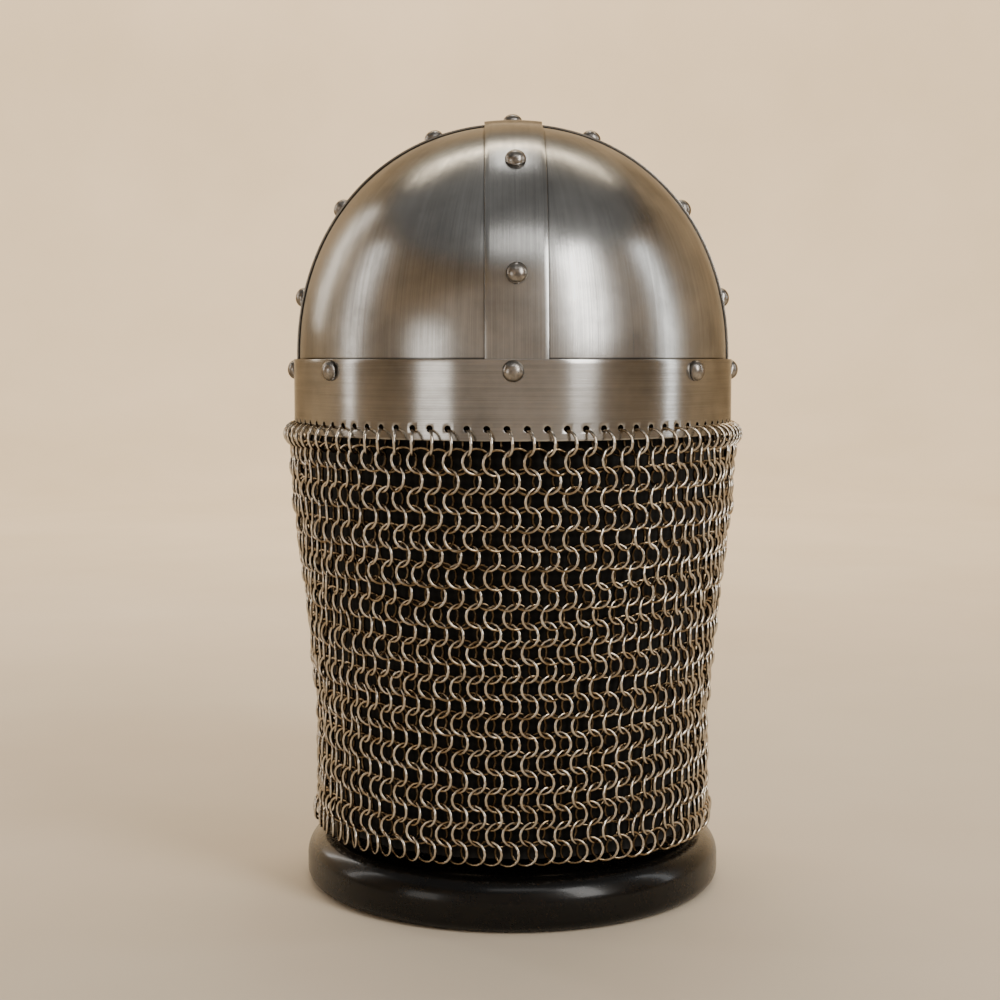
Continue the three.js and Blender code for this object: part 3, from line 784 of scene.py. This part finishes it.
def ring_mesh():
    """One slightly oval ring of round wire, standing in the plane of X and Z."""
    bm = bmesh.new()
    bmesh.ops.create_circle(bm, segments=5, radius=WIRE_RADIUS)
    bmesh.ops.translate(bm, verts=bm.verts[:], vec=(RING_HALF_WIDTH, 0, 0))
    bmesh.ops.spin(bm, geom=bm.verts[:] + bm.edges[:], cent=(0, 0, 0), axis=(0, 1, 0),
                   angle=2 * math.pi, steps=16, use_merge=True)
    bmesh.ops.scale(bm, vec=(1, 1, RING_HALF_HEIGHT / RING_HALF_WIDTH), verts=bm.verts[:])
    bmesh.ops.remove_doubles(bm, verts=bm.verts[:], dist=1e-7)
    bmesh.ops.recalc_face_normals(bm, faces=bm.faces[:])
    mesh = bpy.data.meshes.new("ring")
    bm.to_mesh(mesh)
    bm.free()
    return mesh


def face_share(angle):
    """1 at the face, 0 where the mail hangs from the brow band."""
    x = abs(SKULL_HALF_WIDTH * math.cos(angle))
    edge = EYE_X + EYE_HALF_WIDTH + EYE_RIM + GAP
    return 1 - ease(x, edge - FACE_EASE, edge) if math.sin(angle) < 0 else 0


def mail_point(angle, height):
    """Middle of the mail's thickness at an angle round the helmet and a height."""
    top = lerp(BROW_BOTTOM - GAP, FACE_TOP, face_share(angle))
    share = min(max((top - height) / (top - HEM_Z), 0), 1)
    start = round_point(angle, height, brow_offset(angle) + SHEET)
    hem = Vector((HEM_HALF_WIDTH * math.cos(angle), HEM_HALF_LENGTH * math.sin(angle), height))
    outward = (start - round_point(angle, height, 0)).normalized()
    inward = MAIL_HALF_DEPTH + MAIL_WAIST * read(DRAPE, share)
    return start.lerp(hem, share) - outward * inward, outward


def ring_place(centre, outward, turn, lean, roll):
    """Matrix of a ring whose plane is turned about the upright and leant in or out."""
    up = Vector((0, 0, 1))
    right = up.cross(outward).normalized()
    basis = Matrix((right, -outward, up)).transposed().to_4x4()
    tilt = Matrix.Rotation(-turn, 4, "Z") @ Matrix.Rotation(lean, 4, "X") @ Matrix.Rotation(roll, 4, "Y")
    return Matrix.Translation(centre) @ basis @ tilt


def mail_rows():
    """Places of all rings, row by row from the brow down."""
    rng = random.Random(RING_SEED)
    rows = []
    for row in range(ROWS):
        places = []
        for column, angle in enumerate(even_angles(RINGS_ROUND, 0.5 + 0.5 * (row % 2))):
            if row == 0:
                if behind_guard(angle, 2 * HOLE_RADIUS):
                    continue
                height = HOLE_Z - RING_HALF_HEIGHT - HUNG_DROP
                centre = round_point(angle, height, brow_offset(angle) + SHEET / 2)
                outward = (centre - round_point(angle, height, 0)).normalized()
                turn = HUNG_TURN + rng.gauss(0, HUNG_TURN_SCATTER)
                places.append(ring_place(centre, outward, turn, 0, 0))
                continue
            height = HOLE_Z - RING_HALF_HEIGHT + FIRST_ROW_RISE - ROW_PITCH * row
            height += ROW_WAVE * math.sin(3 * angle + 0.7 * row) * min(row / ROWS_TO_FULL_WAVE, 1)
            limit = lerp(BROW_BOTTOM, FACE_TOP - FACE_CLEARANCE, face_share(angle))
            if height > limit - FACE_CLEARANCE and behind_guard(angle, 0):
                continue
            centre, outward = mail_point(angle, height)
            turn = ODD_TURN if row % 2 else EVEN_TURN
            centre += outward * rng.gauss(0, RING_SCATTER)
            centre.z += rng.gauss(0, RING_SCATTER)
            turn += rng.gauss(0, TURN_SCATTER)
            lean = rng.gauss(0, LEAN_SCATTER)
            roll = rng.gauss(0, ROLL_SCATTER)
            places.append(ring_place(centre, outward, turn, lean, roll))
        rows.append(places)
    return rows


def rim_rings():
    """Rings that hang the mail from the holes in the spectacle rims."""
    places = []
    for side in (-1, 1):
        for x, z in rim_hole_places(side):
            angle = -math.acos(x / SKULL_HALF_WIDTH)
            height = z - RING_HALF_HEIGHT - HUNG_DROP
            centre = round_point(angle, height, brow_offset(angle) + LAYER + GUARD_SHEET / 2)
            outward = (centre - round_point(angle, height, 0)).normalized()
            places.append(ring_place(centre, outward, HUNG_TURN, 0, 0))
    return places


def mail_piece(name, places, nodes):
    """Copies of the ring. Each corner keeps how far outwards its side of the ring faces, as a painted
    shade value that makes the back strands darker and the front strands lighter.
    """
    ring = ring_mesh()
    bm = bmesh.new()
    strand_shade = bm.verts.layers.float.new("strand_shade")
    corners = [vert.co.x / RING_HALF_WIDTH for vert in ring.vertices]
    sides = []
    for place in places:
        away = Vector((place.translation.x, place.translation.y, 0))
        sides.append(math.copysign(1, place.to_3x3().col[0].dot(away)))
        copy = ring.copy()
        copy.transform(place)
        bm.from_mesh(copy)
        bpy.data.meshes.remove(copy)
    bpy.data.meshes.remove(ring)
    # Painted shade value per corner: 1 on the ring's outward side, 0 on its inward side
    for index, vert in enumerate(bm.verts):
        number, corner = divmod(index, len(corners))
        vert[strand_shade] = 0.5 + 0.5 * sides[number] * corners[corner]
    return finish_piece(name, bm, MAIL_STEEL, nodes)


def mail_curtain():
    rows = mail_rows()
    hung = rows[0] + rim_rings()
    mail_piece("mail_hung_rings", hung, [])
    for number, first in enumerate(range(1, ROWS, ROWS_IN_PIECE), start=1):
        places = [place for row in rows[first:first + ROWS_IN_PIECE] for place in row]
        mail_piece(f"mail_rows_{number}", places, ["mail_curtain"] if number == 1 else [])


def mail_lining():
    """Black cloth that hangs behind the rings in shallow folds, and reaches above the mail holes."""
    columns, rows = 4 * RINGS_ROUND, 36
    angles = even_angles(columns)
    bm = bmesh.new()
    bmesh.ops.create_grid(bm, x_segments=columns, y_segments=rows, size=1)
    for vert in bm.verts:
        angle = angles[round((vert.co.x + 1) / 2 * columns) % columns]
        share = (1 - vert.co.y) / 2
        behind = ease(SKULL_HALF_LENGTH * math.sin(angle), *LINING_FULL_RISE_FROM)
        brow = lerp(BROW_BOTTOM - GAP, HOLE_Z + LINING_ABOVE_HOLES, behind)
        top = lerp(brow, FACE_TOP, face_share(angle))
        centre, outward = mail_point(angle, lerp(top, HEM_Z + LINING_RISE, share))
        fold = LINING_FOLD * share * (0.5 + 0.5 * math.sin(LINING_FOLDS * angle + 2 * share))
        tuck = LINING_TUCK * (1 - ease(share, 0, LINING_TUCK_SHARE))
        vert.co = centre - outward * (LINING_BEHIND + fold + tuck)
    bmesh.ops.remove_doubles(bm, verts=bm.verts[:], dist=MERGE)
    face_outwards(bm, MIDDLE)
    layer = bm.loops.layers.uv.new("weave")
    for face in bm.faces:
        centre = face.calc_center_median()
        for loop in face.loops:
            loop[layer].uv = round_map(loop.vert.co, centre)
    cloth = finish_piece("mail_lining_cloth", bm, BLACK_CLOTH, ["mail_lining"],
                         [wall(LINING_SHEET)])


# Stand

def stand_base():
    """Turned disc with a full round above and a small one at the foot."""
    bm = bmesh.new()
    profile = [(0, 0)]
    profile += [(BASE_RADIUS - BASE_FOOT_ROUND + BASE_FOOT_ROUND * math.cos(angle),
                 BASE_FOOT_ROUND + BASE_FOOT_ROUND * math.sin(angle))
                for angle in [lerp(-math.pi / 2, 0, i / 8) for i in range(9)]]
    profile += [(BASE_RADIUS - BASE_TOP_ROUND + BASE_TOP_ROUND * math.cos(angle),
                 BASE_HEIGHT - BASE_TOP_ROUND + BASE_TOP_ROUND * math.sin(angle))
                for angle in [lerp(0, math.pi / 2, i / 12) for i in range(13)]]
    profile += [(0, BASE_HEIGHT)]
    verts = [bm.verts.new((x, 0, z)) for x, z in profile]
    for low, high in zip(verts, verts[1:]):
        bm.edges.new((low, high))
    bmesh.ops.spin(bm, geom=bm.verts[:] + bm.edges[:], cent=(0, 0, 0), axis=(0, 0, 1),
                   angle=2 * math.pi, steps=144, use_merge=True)
    bmesh.ops.remove_doubles(bm, verts=bm.verts[:], dist=MERGE)
    bmesh.ops.recalc_face_normals(bm, faces=bm.faces[:])
    return finish_piece("stand_base_disc", bm, LACQUER, ["stand_base"])


# Studio

def studio():
    """A round pale floor that curves up into a wall, and soft lights around the helmet."""
    bm = bmesh.new()
    profile = [(0, 0), (STUDIO_RADIUS - STUDIO_ROUND, 0)]
    for i in range(1, 13):
        angle = lerp(-math.pi / 2, 0, i / 12)
        profile.append((STUDIO_RADIUS - STUDIO_ROUND + STUDIO_ROUND * math.cos(angle),
                        STUDIO_ROUND + STUDIO_ROUND * math.sin(angle)))
    profile.append((STUDIO_RADIUS, STUDIO_WALL))
    verts = [bm.verts.new((x, 0, z)) for x, z in profile]
    for low, high in zip(verts, verts[1:]):
        bm.edges.new((low, high))
    bmesh.ops.spin(bm, geom=bm.verts[:] + bm.edges[:], cent=(0, 0, 0), axis=(0, 0, 1),
                   angle=2 * math.pi, steps=96, use_merge=True)
    bmesh.ops.remove_doubles(bm, verts=bm.verts[:], dist=MERGE)
    bmesh.ops.recalc_face_normals(bm, faces=bm.faces[:])
    for face in bm.faces:
        face.smooth = True
    mesh = bpy.data.meshes.new("floor")
    bm.to_mesh(mesh)
    bm.free()
    mesh.materials.append(floor_paint())
    floor = bpy.data.objects.new("floor", mesh)
    bpy.context.scene.collection.objects.link(floor)
    for name, (azimuth, rise, width, height, radiance, colour) in SOFTBOXES.items():
        turn, lift = math.radians(azimuth), math.radians(rise)
        place = Vector((math.sin(turn) * math.cos(lift), math.cos(turn) * math.cos(lift), math.sin(lift)))
        light(name, place * SOFTBOX_DISTANCE + AIM, AIM, width, height, radiance, colour)
    light("backdrop_light", (0, -1.3, 2.3), (0, -3.0, 0.7), 2.4, 0.9, 20, (1.0, 0.86, 0.66))
    world = bpy.data.worlds.new("studio")
    bpy.context.scene.world = world
    world.use_nodes = True
    background = world.node_tree.nodes["Background"]
    background.inputs["Color"].default_value = (1.0, 0.98, 0.95, 1)
    background.inputs["Strength"].default_value = 0.25


def light(name, place, aim, width, height, radiance, colour):
    """A rectangular softbox of a given radiance, which the camera doesn't see."""
    lamp = bpy.data.lights.new(name, "AREA")
    lamp.shape = "RECTANGLE"
    lamp.size = width
    lamp.size_y = height
    lamp.energy = radiance * math.pi * width * height
    lamp.color = colour
    thing = bpy.data.objects.new(name, lamp)
    thing.location = place
    thing.rotation_euler = (Vector(aim) - Vector(place)).to_track_quat("-Z", "Y").to_euler()
    thing.visible_camera = False
    bpy.context.scene.collection.objects.link(thing)


def camera():
    data = bpy.data.cameras.new("camera")
    data.lens = CAMERA_LENS
    data.sensor_width = 36
    view = bpy.data.objects.new("camera", data)
    away = Vector((math.sin(CAMERA_TURN), math.cos(CAMERA_TURN), 0))
    aside = Vector((math.cos(CAMERA_TURN), -math.sin(CAMERA_TURN), 0))
    view.location = away * CAMERA_DISTANCE + aside * CAMERA_ASIDE + Vector((0, 0, BROW_TOP))
    view.rotation_euler = (math.pi / 2 - CAMERA_PITCH, 0, math.pi - CAMERA_TURN)
    bpy.context.scene.collection.objects.link(view)
    bpy.context.scene.camera = view


camera()
for plate, side_x, side_y in (("rear_left", 1, 1), ("rear_right", -1, 1),
                              ("front_left", 1, -1), ("front_right", -1, -1)):
    skull_plate("skull_plate_" + plate, side_x, side_y)
band("band_ear_to_ear", False, False)
band("band_front_to_back", True, True)
brow_band()
spectacle_guard()
all_rivets()
mail_curtain()
mail_lining()
stand_base()
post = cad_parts["stand_post"]
post.data.materials.clear()
post.data.materials.append(MATT_BLACK)
studio()
